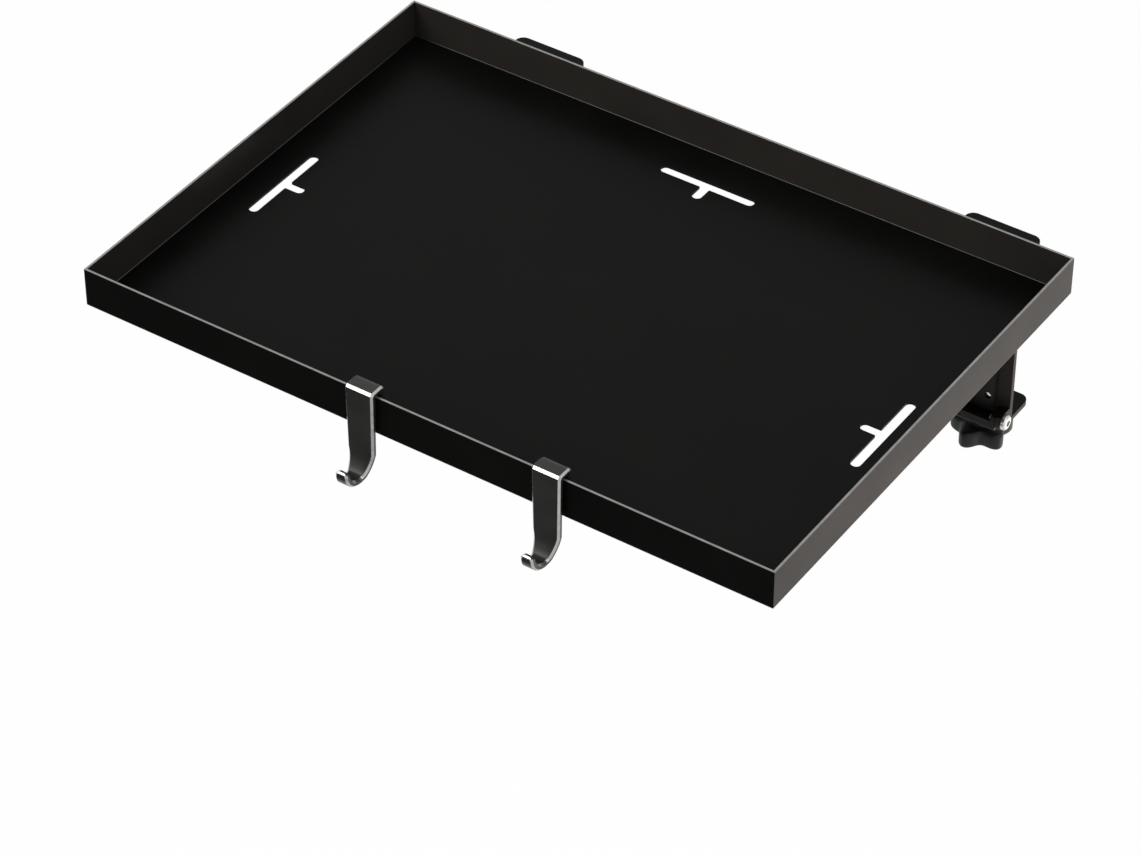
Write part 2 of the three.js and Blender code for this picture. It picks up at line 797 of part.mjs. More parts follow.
function addHinge(put) {
  const head = earOuter + 2 * seatGap + hingeWasherSheet;
  const nutSeat = earOuter + seatGap;
  const length = head + nutSeat + hingeNutHeight + boltTail;
  const pivot = bolt(hingeBoltRadius, hingeHeadRadius, hingeHeadHeight, length);
  put("hinge_bolt", pivot.translate(-head, hingeY, hingeZ), "zinc");
  const washerOuter = earOuter + seatGap + hingeWasherSheet;
  const hole = hingeBoltRadius + runGap;
  const washer = turnedX(ring(hole, hingeWasherRadius, -washerOuter, -earOuter - seatGap));
  put("hinge_washer", washer.translate(0, hingeY, hingeZ), "zinc");
  const lock = nut(hingeNutFlats, hingeNutHeight, hingeBoltRadius).rotateZ(-Math.PI / 2);
  put("hinge_nut", lock.translate(nutSeat, hingeY, hingeZ), "zinc");
  const near = bracketWidth / 2 + runGap;
  const far = near + frictionWasherSheet;
  const left = turnedX(ring(hole, frictionWasherRadius, -far, -near)).translate(0, hingeY, hingeZ);
  const right = turnedX(ring(hole, frictionWasherRadius, near, far)).translate(0, hingeY, hingeZ);
  put("friction_washer_left", left, "nylon");
  put("friction_washer_right", right, "nylon");
}

// The lower jaw's two side bolts, through the bracket's tabs into the jaw's threaded lugs
function addJawBolts(put) {
  const head = clampWidth / 2 + seatGap;
  const length = head - lugInner + boltTail;
  for (const [place, turn] of [["left", 0], ["right", Math.PI]]) {
    const hand = turn ? 1 : -1;
    const fixing = bolt(jawBoltRadius, jawHeadRadius, jawHeadHeight, length).rotateZ(turn);
    put(`jaw_bolt_${place}`, fixing.translate(hand * head, jawBoltY, jawBoltZ), "zinc");
  }
}

add("tray_pan", trayPan(), "powderCoat");
addClamp("left", -clampSpacing / 2);
addClamp("right", clampSpacing / 2);
add("hook_left", hook(), "blackNickel", hookCentres[0]);
add("hook_right", hook(), "blackNickel", hookCentres[1]);

export default group;
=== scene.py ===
# %% [markdown]
# # A folding bedside tray on two rail clamps
# The real object is a shallow tray of black powder coated steel. Two clamps hold it on a bed rail,
# two hinges let it fold down, and two plated hooks hang on its front wall. Its construction comes
# as a frame of plain solids, one for each piece. In this lesson each piece gets the edges, threads
# and finishes that the eye expects, without moving anything.

# %% Load the frame
import math

import bpy
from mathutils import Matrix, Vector


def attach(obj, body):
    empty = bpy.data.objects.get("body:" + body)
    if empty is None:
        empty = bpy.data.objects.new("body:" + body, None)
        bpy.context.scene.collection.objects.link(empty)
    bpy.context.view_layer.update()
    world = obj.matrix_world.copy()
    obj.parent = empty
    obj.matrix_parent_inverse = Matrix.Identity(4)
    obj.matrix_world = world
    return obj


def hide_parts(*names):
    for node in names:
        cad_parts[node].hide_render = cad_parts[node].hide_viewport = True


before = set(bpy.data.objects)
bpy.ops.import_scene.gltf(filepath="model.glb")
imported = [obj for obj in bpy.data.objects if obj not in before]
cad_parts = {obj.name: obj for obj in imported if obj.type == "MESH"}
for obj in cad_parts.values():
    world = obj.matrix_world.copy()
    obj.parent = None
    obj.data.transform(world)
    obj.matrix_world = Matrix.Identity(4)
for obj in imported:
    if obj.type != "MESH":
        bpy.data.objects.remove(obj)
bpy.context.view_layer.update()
MM = 0.001

# %% [markdown]
# ## The camera
# The photograph looks down on the tray from its front right, from more than two metres away, so a
# long lens keeps the tray's sides nearly parallel. The place, the direction and the lens were found
# by fitting the tray's eight corners. A camera looks along its own -Z, so its turn is worked out
# from the direction alone.

# %% Camera
CAMERA_PLACE = Vector((951.1, -1590.1, 1373.0)) * MM
CAMERA_LOOK = Vector((-0.4265, 0.6354, -0.6437))
CAMERA_ROLL = math.radians(0.05)
LENS_MM = 139.16
SENSOR_MM = 36

camera_data = bpy.data.cameras.new("camera")
camera_data.sensor_width = SENSOR_MM
camera_data.lens = LENS_MM
camera = bpy.data.objects.new("camera", camera_data)
bpy.context.scene.collection.objects.link(camera)
camera.location = CAMERA_PLACE
turn = CAMERA_LOOK.to_track_quat("-Z", "Y").to_matrix().to_4x4()
camera.rotation_euler = turn.to_euler()
camera.rotation_euler.rotate_axis("Z", CAMERA_ROLL)
bpy.context.scene.camera = camera
print("camera looks along", [round(value, 3) for value in CAMERA_LOOK])

# %% [markdown]
# ## Studio
# The photograph has a white ground and soft light with one strong softbox on the front left, which
# draws the bright lines on the edges. Here a pale floor lies well below the tray, so that its
# shadow falls outside the picture, and the world and the lamps together light a surface at about
# the level at which its colour is written. Floor and world are white only where they are seen, by
# the camera, in gloss or through glass. A dim card low in front keeps the front walls dark, and a
# warm lamp low on the right lifts the right wall.

# %% Floor, world and lamps
FLOOR_LEVEL = -0.5
FLOOR_SIZE = 40
FLOOR_COLOUR = (0.93, 0.93, 0.93, 1)
WHITE_SHARE = 0.98
WORLD_LEVEL = 0.45
TARGET = Vector((0, -0.15, 0))
WARM = (1, 0.9, 0.83)


def shader_of(name):
    """A new material and its shader."""
    material = bpy.data.materials.new(name)
    material.use_nodes = True
    return material, material.node_tree.nodes["Principled BSDF"]


bpy.ops.mesh.primitive_plane_add(size=FLOOR_SIZE, location=(0, 0, FLOOR_LEVEL))
floor = bpy.context.object
floor.name = "floor"
floor_paint, shader = shader_of("floor_paint")
shader.inputs["Base Color"].default_value = FLOOR_COLOUR
shader.inputs["Roughness"].default_value = 1
shader.inputs["Specular IOR Level"].default_value = 0
floor.data.materials.append(floor_paint)


def seen_straight(tree):
    """One for a ray from the camera, off gloss or through glass. Zero for a ray that only lights."""
    light_path = tree.nodes.new("ShaderNodeLightPath")
    seen = light_path.outputs["Is Camera Ray"]
    for ray in ("Is Glossy Ray", "Is Transmission Ray"):
        either = tree.nodes.new("ShaderNodeMath")
        either.operation = "ADD"
        either.use_clamp = True
        tree.links.new(seen, either.inputs[0])
        tree.links.new(light_path.outputs[ray], either.inputs[1])
        seen = either.outputs["Value"]
    return seen


# the floor is mostly white where it is seen, and keeps some of its shade
nodes, links = floor_paint.node_tree.nodes, floor_paint.node_tree.links
share = nodes.new("ShaderNodeMath")
share.operation = "MULTIPLY"
share.inputs[1].default_value = WHITE_SHARE
links.new(seen_straight(floor_paint.node_tree), share.inputs[0])
white = nodes.new("ShaderNodeEmission")
mix = nodes.new("ShaderNodeMixShader")
links.new(share.outputs["Value"], mix.inputs["Fac"])
links.new(shader.outputs["BSDF"], mix.inputs[1])
links.new(white.outputs["Emission"], mix.inputs[2])
links.new(mix.outputs["Shader"], nodes["Material Output"].inputs["Surface"])

world = bpy.context.scene.world or bpy.data.worlds.new("studio")
bpy.context.scene.world = world
world.use_nodes = True
background = world.node_tree.nodes["Background"]
background.inputs["Color"].default_value = (1, 1, 1, 1)

# the world is white where it is seen, and lights the tray at its own lower level
level = world.node_tree.nodes.new("ShaderNodeMath")
level.operation = "MULTIPLY_ADD"
level.inputs[1].default_value = 1 - WORLD_LEVEL
level.inputs[2].default_value = WORLD_LEVEL
world.node_tree.links.new(seen_straight(world.node_tree), level.inputs[0])
world.node_tree.links.new(level.outputs["Value"], background.inputs["Strength"])


def softbox(name, direction, distance, width, height, radiance):
    """An area lamp that looks at the tray. Its power follows from how bright its face looks."""
    data = bpy.data.lights.new(name, "AREA")
    data.shape = "RECTANGLE"
    data.size = width
    data.size_y = height
    data.energy = radiance * math.pi * width * height
    lamp = bpy.data.objects.new(name, data)
    bpy.context.scene.collection.objects.link(lamp)
    way = Vector(direction).normalized()
    lamp.location = TARGET + way * distance
    lamp.rotation_euler = (-way).to_track_quat("-Z", "Y").to_euler()
    lamp.visible_camera = False
    return lamp


def card(name, place, facing, width, height, level):
    """A card on a stand. What faces it reflects its dim face instead of the white ground."""
    bpy.ops.mesh.primitive_plane_add(size=1)
    sheet = bpy.context.object
    sheet.name = name
    sheet.scale = (width, height, 1)
    sheet.location = place
    sheet.rotation_euler = Vector(facing).to_track_quat("Z", "Y").to_euler()
    paint, shader = shader_of(name + "_paint")
    shader.inputs["Base Color"].default_value = (0, 0, 0, 1)
    shader.inputs["Specular IOR Level"].default_value = 0
    shader.inputs["Emission Color"].default_value = (1, 1, 1, 1)
    shader.inputs["Emission Strength"].default_value = level
    sheet.data.materials.append(paint)
    sheet.visible_camera = False


softbox("key", direction=(-0.43, -0.64, 0.64), distance=1.7, width=1, height=1, radiance=4.4)
softbox("top", direction=(0.9, -0.1, 0.8), distance=1.8, width=1.2, height=0.9, radiance=1.5)
side = softbox("right_low", direction=(0.456, 0.37, -0.36), distance=0.69, width=0.6, height=0.5,
               radiance=1.1)
side.data.color = WARM
card("front_card", place=(-0.17, -0.62, -0.23), facing=(0.2, 0.9, 0.6), width=1, height=0.5, level=0.12)
bpy.context.scene.view_settings.view_transform = "Standard"
print("world, three lamps and a card")

# %% [markdown]
# ## Finishes
# Every finish starts from the same shader. Noise on the piece's own coordinates, in metres, gives
# each one its grain: the orange peel of powder coat, the mottling of zinc, the grain of moulded
# plastic. The noise drives roughness and bump, and the colour only a little.

# %% Grain
NOISE_ENDS = (0.3, 0.7)
TINT_ENDS = (0.35, 0.65)


def grain(material, scale, detail=3, roughness=0.5):
    """Noise on object coordinates. The scale is in grains for each metre."""
    nodes, links = material.node_tree.nodes, material.node_tree.links
    place = nodes.new("ShaderNodeTexCoord")
    noise = nodes.new("ShaderNodeTexNoise")
    noise.inputs["Scale"].default_value = scale
    noise.inputs["Detail"].default_value = detail
    noise.inputs["Roughness"].default_value = roughness
    links.new(place.outputs["Object"], noise.inputs["Vector"])
    return noise


def ranged(material, source, low, high):
    """The same noise, spread between two values."""
    nodes, links = material.node_tree.nodes, material.node_tree.links
    spread = nodes.new("ShaderNodeMapRange")
    spread.inputs["From Min"].default_value = NOISE_ENDS[0]
    spread.inputs["From Max"].default_value = NOISE_ENDS[1]
    spread.inputs["To Min"].default_value = low
    spread.inputs["To Max"].default_value = high
    links.new(source.outputs["Fac"], spread.inputs["Value"])
    return spread.outputs["Result"]


def bumped(material, source, strength, depth):
    """Relief from a noise. The depth is in metres."""
    nodes, links = material.node_tree.nodes, material.node_tree.links
    bump = nodes.new("ShaderNodeBump")
    bump.inputs["Strength"].default_value = strength
    bump.inputs["Distance"].default_value = depth
    links.new(source.outputs["Fac"], bump.inputs["Height"])
    links.new(bump.outputs["Normal"], nodes["Principled BSDF"].inputs["Normal"])


def tinted(material, source, dark, light):
    """Two close colours, mixed by the noise."""
    nodes, links = material.node_tree.nodes, material.node_tree.links
    ramp = nodes.new("ShaderNodeValToRGB")
    for stop, position, colour in zip(ramp.color_ramp.elements, TINT_ENDS, (dark, light)):
        stop.position = position
        stop.color = (*colour, 1)
    links.new(source.outputs["Fac"], ramp.inputs["Fac"])
    links.new(ramp.outputs["Color"], nodes["Principled BSDF"].inputs["Base Color"])


def clouded(name, scale, dark, light, rough, metallic=0, specular=0.5, detail=3, grit=0.5):
    """A finish whose colour and roughness follow one noise."""
    material, shader = shader_of(name)
    shader.inputs["Metallic"].default_value = metallic
    shader.inputs["Specular IOR Level"].default_value = specular
    cloud = grain(material, scale, detail, grit)
    tinted(material, cloud, dark, light)
    material.node_tree.links.new(ranged(material, cloud, *rough), shader.inputs["Roughness"])
    return material


# %% [markdown]
# The black powder coat is drawn with four materials. On the floor it is almost black, with a faint
# warm sheen. The walls get a lighter, warmer colour: painted light for how the lamps fall on them.
# The bends are glossier, and their lighter colour is a painted highlight line. The rim's eased
# edges get a light metallic finish, a painted highlight. One material with masks could show all of
# this, but four plain ones are easier to follow, because each face then simply has the finish that it
# needs.

# %% Coats
COAT_CLOUD = 22
ORANGE_PEEL = {"strength": 0.35, "depth": 0.00003}
PEEL_SCALE = 1100

COAT = clouded("powder_coat", COAT_CLOUD, dark=(0.0028, 0.0027, 0.0025), light=(0.0036, 0.0035, 0.0032),
               rough=(0.32, 0.38), specular=0.045)
shader = COAT.node_tree.nodes["Principled BSDF"]
shader.inputs["Sheen Weight"].default_value = 0.02
shader.inputs["Sheen Roughness"].default_value = 0.4
shader.inputs["Sheen Tint"].default_value = (1, 0.95, 0.88, 1)
bumped(COAT, grain(COAT, PEEL_SCALE), **ORANGE_PEEL)

# painted light: a lighter, warmer copy of the coat for the faces that the lamps light more
LIT_WALL_COAT = clouded("wall_coat_painted_light", COAT_CLOUD, dark=(0.027, 0.0236, 0.021), light=(0.033, 0.0289, 0.0257),
               rough=(0.32, 0.4), specular=0.055)
bumped(LIT_WALL_COAT, grain(LIT_WALL_COAT, PEEL_SCALE), **ORANGE_PEEL)

# a glossier coat for the bends, whose lighter colour is a painted highlight line
BEND_GLOSS_AND_HIGHLIGHT = clouded("bend_gloss_and_painted_highlight", COAT_CLOUD, dark=(0.01, 0.0097, 0.0092), light=(0.013, 0.0126, 0.012),
                rough=(0.3, 0.36))
# painted highlight: a light metallic finish on the rim's eased edges, standing in for the light they
# catch
EDGE = clouded("rim_highlight_paint", scale=160, dark=(0.24, 0.2375, 0.2325), light=(0.3, 0.2975, 0.2925),
               rough=(0.26, 0.38), metallic=0.75)
print("coats:", [material.name for material in (COAT, LIT_WALL_COAT, BEND_GLOSS_AND_HIGHLIGHT, EDGE)])

# %% [markdown]
# The hooks are plated black. Their edges, the flat on the front corner and the tip get a bright
# metal, a painted highlight for the light that catches them. Bolts and screws are zinc plated. Zinc
# could have a finer relief of its own, but its crystals are what can be felt on it, so the noise that
# mottles it is also its relief.

# %% Metals
NICKEL = clouded("black_nickel", scale=60, dark=(0.031, 0.03, 0.0288), light=(0.037, 0.0357, 0.0344),
                 rough=(0.24, 0.34), metallic=0.2, specular=0.2)
bumped(NICKEL, grain(NICKEL, scale=900), strength=0.12, depth=0.00002)

# painted highlight: a bright copy of the hook's metal for its edges, front flat and tip
EDGE_HIGHLIGHT_METAL = clouded("hook_edge_highlight_paint", scale=420, dark=(0.38, 0.376, 0.37), light=(0.46, 0.456, 0.448),
                 rough=(0.24, 0.34), metallic=1)

ZINC = clouded("zinc", scale=500, dark=(0.5, 0.5, 0.49), light=(0.7, 0.7, 0.68),
               rough=(0.22, 0.4), metallic=0.95, detail=4, grit=0.6)
bumped(ZINC, ZINC.node_tree.nodes["Noise Texture"], strength=0.1, depth=0.00002)
print("metals:", [material.name for material in (NICKEL, EDGE_HIGHLIGHT_METAL, ZINC)])

# %% [markdown]
# The knob is moulded, the pads and liners are rubber, and the washers in the hinges are nylon. A
# plain colour would look like paint. A moulded piece takes its grain from the mould, so each has a
# fine relief of its own on top of its cloud, the rubber the deepest.

# %% Plastics
PLASTIC = clouded("moulded_black", scale=45, dark=(0.011, 0.011, 0.0115), light=(0.016, 0.016, 0.0165),
                  rough=(0.36, 0.5), specular=0.22)
bumped(PLASTIC, grain(PLASTIC, scale=2200), strength=0.35, depth=0.00004)

RUBBER = clouded("rubber", scale=300, dark=(0.012, 0.012, 0.012), light=(0.022, 0.022, 0.021),
                 rough=(0.7, 0.9), specular=0.18)
bumped(RUBBER, grain(RUBBER, scale=1500), strength=0.5, depth=0.00008)

NYLON = clouded("nylon", scale=200, dark=(0.62, 0.6, 0.55), light=(0.7, 0.68, 0.63),
                rough=(0.4, 0.55))
bumped(NYLON, grain(NYLON, scale=1800), strength=0.2, depth=0.00004)
print("plastics:", [material.name for material in (PLASTIC, RUBBER, NYLON)])

# %% [markdown]
# ## Hands
# A few helpers stand in for the mouse. `choose` selects one object, `pick` selects faces or edges
# by their place, in millimetres, and `modified` adds a modifier and applies it at once.

# %% Selecting and applying
import bmesh
from mathutils import Matrix

SHARP = 40


def choose(piece):
    """Selects one piece alone."""
    bpy.ops.object.select_all(action="DESELECT")
    piece.select_set(True)
    bpy.context.view_layer.objects.active = piece
    return piece


def editing(piece):
    """Edit mode on one piece alone."""
    choose(piece)
    bpy.ops.object.mode_set(mode="EDIT")


def edited():
    """Back to object mode."""
    bpy.ops.object.mode_set(mode="OBJECT")


def pick(kind, test):
    """Selects the faces or edges that pass a test."""
    bpy.ops.mesh.select_mode(type=kind)
    bpy.ops.mesh.select_all(action="DESELECT")
    shape = bmesh.from_edit_mesh(bpy.context.object.data)
    for element in shape.faces if kind == "FACE" else shape.edges:
        if kind == "FACE":
            good = test(element.calc_center_median() / MM, element.normal)
        else:
            good = test(element.verts[0].co / MM, element.verts[1].co / MM)
        if good:
            element.select_set(True)
    bmesh.update_edit_mesh(bpy.context.object.data)


def modified(piece, kind, **settings):
    """Adds a modifier with its settings, and applies it."""
    choose(piece)
    modifier = piece.modifiers.new(kind.lower(), kind)
    for name, value in settings.items():
        setattr(modifier, name, value)
    bpy.ops.object.modifier_apply(modifier=modifier.name)


def cut(piece, tool, operation="DIFFERENCE"):
    """Boolean with a tool, which is thrown away afterwards."""
    modified(piece, "BOOLEAN", object=tool, operation=operation, solver="EXACT")
    bpy.data.objects.remove(tool)


def edges_eased(piece, width):
    """Every edge sharper than the limit is rounded, in two steps."""
    modified(piece, "BEVEL", width=width * MM, segments=2, limit_method="ANGLE",
             angle_limit=math.radians(SHARP), use_clamp_overlap=True)


def smoothed(piece, angle=SHARP):
    """Smooth shading over every edge flatter than the angle."""
    choose(piece)
    bpy.ops.object.shade_smooth_by_angle(angle=math.radians(angle))


def evened(piece):
    """Large faces lend their normals to the narrow ones beside them, so they stay flat to the eye."""
    modified(piece, "WEIGHTED_NORMAL", keep_sharp=True, weight=100)


def hung(piece, name, body, finishes, replaced=()):
    """Names a finished piece, gives it its finishes and hangs it on its body."""
    piece.name = name
    piece.data.name = name
    keep = [face.material_index for face in piece.data.polygons]
    piece.data.materials.clear()
    for finish in finishes:
        piece.data.materials.append(finish)
    for face, index in zip(piece.data.polygons, keep):
        face.material_index = min(index, len(finishes) - 1)
    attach(piece, body)
    if replaced:
        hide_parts(*replaced)
    return piece


def copied(model, shift=(0, 0, 0), turn=None):
    """A copy with its own mesh, turned about the origin and then shifted, in millimetres."""
    piece = model.copy()
    piece.data = model.data.copy()
    bpy.context.scene.collection.objects.link(piece)
    place = Matrix.Translation(Vector(shift) * MM)
    if turn:
        place = place @ Matrix.Rotation(math.radians(turn[0]), 4, turn[1])
    piece.data.transform(place)
    return piece


def thrown_away(model):
    """Removes a model once its copies are made."""
    bpy.data.objects.remove(model)


CLAMPS = {"left": -139.5, "right": 139.5}


def on_both_clamps(model, name, node, body, slot, *finishes):
    """The same piece on the left and on the right clamp, in place of the CAD node."""
    for side, place in CLAMPS.items():
        piece = copied(model, (place, 0, 0))
        hung(piece, f"{side}_{name}", body.format(side=side), finishes, [f"{side}_{node}"])
    thrown_away(model)


# %% [markdown]
# ## The tray
# The real tray is one sheet of steel, 1.2 mm thick, with four walls bent up and three T-shaped
# slots punched in its floor. It could be drawn as five plates, but then nothing would run round
# the bends. So it starts as a closed block of the outer size: the top comes off, the lower edges
# are rounded to the bend's radius, and Solidify gives the sheet its thickness inwards. The slots
# are cut afterwards, because a hole in a plane face would have no thickness yet.

# %% Tray: the block, the bends and the sheet
TRAY_LOW = (-200, -304.5, 14)
TRAY_HIGH = (200, -24.5, 37)
SHEET = 1.2
BEND = 1.5
ROUND_STEPS = 6
ALONG = 0.9


def block(low, high):
    """A cube primitive between two corners, in millimetres, with its size applied."""
    size = [high[i] - low[i] for i in range(3)]
    middle = [(high[i] + low[i]) / 2 for i in range(3)]
    bpy.ops.mesh.primitive_cube_add(size=1, location=Vector(middle) * MM)
    piece = bpy.context.object
    piece.scale = Vector(size) * MM
    choose(piece)
    bpy.ops.object.transform_apply(location=True, rotation=True, scale=True)
    return piece


tray = block(TRAY_LOW, TRAY_HIGH)
editing(tray)
pick("FACE", lambda middle, normal: normal.z > ALONG)
bpy.ops.mesh.delete(type="ONLY_FACE")
pick("EDGE", lambda one, other: max(one.z, other.z) < TRAY_LOW[2] + SHEET)
bpy.ops.mesh.bevel(offset=BEND * MM, segments=ROUND_STEPS, profile=0.5, affect="EDGES")
edited()
modified(tray, "SOLIDIFY", thickness=SHEET * MM, offset=-1, use_even_offset=True)
print("sheet of", len(tray.data.polygons), "faces")

# %% [markdown]
# One slot is a bar 56 mm long and 5.4 mm wide, with a short stem towards the tray's middle. The
# tool that cuts it starts as a square peg where the bar and the stem meet. Three of its sides are
# extruded to their ends. One bevel makes the ends round, a smaller one eases the inner corners.

# %% Tray: the slots
SLOT_WIDTH = 5.4
SLOT_HALF = 28
SLOT_STEM = 12.5
SLOT_ROUND = 2.65
SLOT_FILLET = 0.6
BACK_SLOT = (2.6, -50.9)
SIDE_SLOT = (178.5, -170.4)
SLOT_TOOL = (12, 18)
NEAR = 0.01

peg = SLOT_WIDTH / 2
slot_tool = block((-peg, -peg, SLOT_TOOL[0]), (peg, peg, SLOT_TOOL[1]))
editing(slot_tool)
for way, reach in (((1, 0), SLOT_HALF), ((-1, 0), SLOT_HALF), ((0, -1), SLOT_STEM)):
    pick("FACE", lambda middle, normal: normal.x * way[0] + normal.y * way[1] > ALONG
         and abs(middle.x * way[1]) < peg)
    run = Vector((*way, 0)) * (reach - peg) * MM
    bpy.ops.mesh.extrude_region_move(TRANSFORM_OT_translate={"value": run})
ends = [(SLOT_HALF, peg), (SLOT_HALF, -peg), (peg, -SLOT_STEM)]
for corners, radius in ((ends, SLOT_ROUND), ([(peg, -peg)], SLOT_FILLET)):
    pick("EDGE", lambda one, other: (one - other).xy.length < NEAR
         and any(abs(abs(one.x) - x) < NEAR and abs(one.y - y) < NEAR for x, y in corners))
    bpy.ops.mesh.bevel(offset=radius * MM, segments=ROUND_STEPS, profile=0.5, affect="EDGES")
edited()

for x, y, turn in ((*BACK_SLOT, 0), (-SIDE_SLOT[0], SIDE_SLOT[1], 90), (*SIDE_SLOT, -90)):
    cut(tray, copied(slot_tool, (x, y, 0), (turn, "Z")))
thrown_away(slot_tool)
print("slots cut,", len(tray.data.polygons), "faces")

# %% [markdown]
# Powder coat rounds every edge a little, so all sharp edges are eased. The eased faces along the
# rim get the light metallic finish, a painted highlight along the rim. The walls get the lighter
# colour, painted light, except the outer front and back walls, and the narrow bends the glossier coat
# with its painted highlight line. Weighted normals then keep the large flat faces even right up to their
# eased edges.

# %% Tray: edges, rim, walls and bends
EASED = 0.3
RIM = 36.5
FLOOR_TOP = 15.3
CENTRE_Y = -164.5
UPRIGHT = 0.3
ROUNDED = (0.1, 0.98)

edges_eased(tray, EASED)
# rim faces: painted highlight; inner and side walls: painted light, the lighter wall colour; bends:
# glossier, with a painted highlight line
for face in tray.data.polygons:
    middle, normal = face.center / MM, face.normal
    inside = normal.dot(Vector((-middle.x, CENTRE_Y - middle.y, 0))) > 0
    wall = abs(normal.z) < UPRIGHT and middle.z > FLOOR_TOP
    if middle.z > RIM and normal.z > UPRIGHT:
        face.material_index = 1
    elif wall and (inside or abs(normal.x) > ALONG):
        face.material_index = 2
    elif middle.z < FLOOR_TOP + BEND and ROUNDED[0] < normal.z < ROUNDED[1]:
        face.material_index = 3
smoothed(tray)
evened(tray)
hung(tray, "tray_sheet", "tray", (COAT, EDGE, LIT_WALL_COAT, BEND_GLOSS_AND_HIGHLIGHT), ["tray_pan"])
print("tray:", len(tray.data.polygons), "faces")

# %% [markdown]
# ## Turned and threaded pieces
# Bolts, washers, nuts and the clamp screw are turned on a lathe. `lathed` works the same way: a
# circle is extruded from level to level and drawn in or out at each one. A screw thread is one
# tooth that climbs by its pitch in each turn, so the Screw modifier makes it, and two flat cuts
# give it its length. What lies inside a plain chamfered rod is kept, which shapes its two ends.
#
# An extrude may store its points in another order each time the script runs, and where two meshes
# nearly touch, a cut can then come out differently. So every mesh made here is put in one fixed
# order before it is used.

# %% A fixed order
def in_order(piece):
    """Rebuilds a piece's mesh with its points sorted by place, and its faces by their points."""
    places = [tuple(point.co) for point in piece.data.vertices]
    rank = sorted(range(len(places)), key=lambda number: places[number])
    renumbered = {old: new for new, old in enumerate(rank)}
    faces = []
    for face in piece.data.polygons:
        corners = [renumbered[corner] for corner in face.vertices]
        first = corners.index(min(corners))
        faces.append(corners[first:] + corners[:first])
    ordered = bpy.data.meshes.new(piece.data.name)
    ordered.from_pydata([places[number] for number in rank], [], sorted(faces))
    piece.data = ordered
    return piece


# %% Lathe
LATHE_WELD = 0.000001


def lathed(profile, sides=40):
    """A solid of revolution about Z, from (radius, level) pairs in millimetres.

    A profile that comes back to its first pair is a ring. Any other is closed with two flat ends.
    """
    ring = profile[0] == profile[-1]
    radius, level = profile[0]
    bpy.ops.mesh.primitive_circle_add(vertices=sides, radius=radius * MM,
                                      fill_type="NOTHING" if ring else "NGON",
                                      location=(0, 0, level * MM))
    piece = bpy.context.object
    choose(piece)
    bpy.ops.object.transform_apply(location=True)
    editing(piece)
    bpy.ops.mesh.select_all(action="SELECT")
    for new_radius, new_level in profile[1:]:
        rise = Vector((0, 0, (new_level - level) * MM))
        if ring:
            bpy.ops.mesh.extrude_edges_move(TRANSFORM_OT_translate={"value": rise})
        else:
            bpy.ops.mesh.extrude_region_move(TRANSFORM_OT_translate={"value": rise})
        grow = new_radius / radius
        bpy.ops.transform.resize(value=(grow, grow, 1), center_override=(0, 0, new_level * MM))
        radius, level = new_radius, new_level
    bpy.ops.mesh.select_all(action="SELECT")
    bpy.ops.mesh.remove_doubles(threshold=LATHE_WELD)
    bpy.ops.mesh.normals_make_consistent(inside=False)
    edited()
    return in_order(piece)


def laid(piece, turn, shift=(0, 0, 0)):
    """Turns a piece made about Z, and sets it in its place."""
    place = Matrix.Translation(Vector(shift) * MM) @ Matrix.Rotation(math.radians(turn[0]), 4, turn[1])
    piece.data.transform(place)
    return piece


# %% Thread
THREAD_SIDES = 28
THREAD_WELD = 0.000002
THREAD_DEPTH = 0.55
TOOTH = ((1, 0), (0, 0.4), (0, 0.55), (1, 0.95), (1, 1))
THREAD_CLEAR = 0.05


def threaded(radius, pitch, low, high):
    """A rod about Z with a rolled thread between two levels, in millimetres.

    The tooth is given as how far in and how far up each corner is, for a thread of depth and pitch 1.
    """
    depth = THREAD_DEPTH * pitch
    bpy.ops.mesh.primitive_plane_add(size=1)
    rod = bpy.context.object
    shape = bmesh.new()
    points = [shape.verts.new(((radius - depth * into) * MM, 0, (low + (up - 1.5) * pitch) * MM))
              for into, up in TOOTH]
    for one, other in zip(points, points[1:]):
        shape.edges.new((one, other))
    shape.to_mesh(rod.data)
    shape.free()
    turns = math.ceil((high - low) / pitch) + 3
    modified(rod, "SCREW", angle=2 * math.pi, screw_offset=pitch * MM, iterations=turns, axis="Z",
             steps=THREAD_SIDES, render_steps=THREAD_SIDES, use_merge_vertices=True,
             merge_threshold=THREAD_WELD, use_normal_calculate=True)
    editing(rod)
    for level, way in ((low, -1), (high, 1)):
        bpy.ops.mesh.select_all(action="SELECT")
        bpy.ops.mesh.bisect(plane_co=(0, 0, level * MM), plane_no=(0, 0, way), use_fill=True,
                            clear_outer=True)
    bpy.ops.mesh.select_all(action="SELECT")
    bpy.ops.mesh.remove_doubles(threshold=THREAD_WELD)
    bpy.ops.mesh.normals_make_consistent(inside=False)
    edited()
    return in_order(rod)


def threaded_rod(radius, pitch, low, high, width):
    """A threaded rod with chamfered ends: the part of a longer one that is inside a plain rod.

    The longer rod ends well outside the plain one, because two faces in one plane spoil a cut.
    """
    rod = threaded(radius, pitch, low - pitch, high + pitch)
    tip = radius - width
    outside = radius + THREAD_CLEAR
    cone = lathed([(tip, low), (outside, low + width), (outside, high - width), (tip, high)])
    cut(rod, cone, "INTERSECT")
    return rod


# %% [markdown]
# Four short studs are welded under the tray. The tray brackets hang on them, each with two nuts.
# Plain pins would do from above, but the threads show below the nuts when the tray is folded down.
# So one stud is threaded, and copied to the other places.

# %% Weld studs
STUD_RADIUS = 2
STUD_PITCH = 0.7
STUD_ENDS = (7, 14.2)
STUD_ROWS = {"back": -37.5, "front": -58.5}
STUD_PLACES = [(x, y) for x in CLAMPS.values() for y in STUD_ROWS.values()]

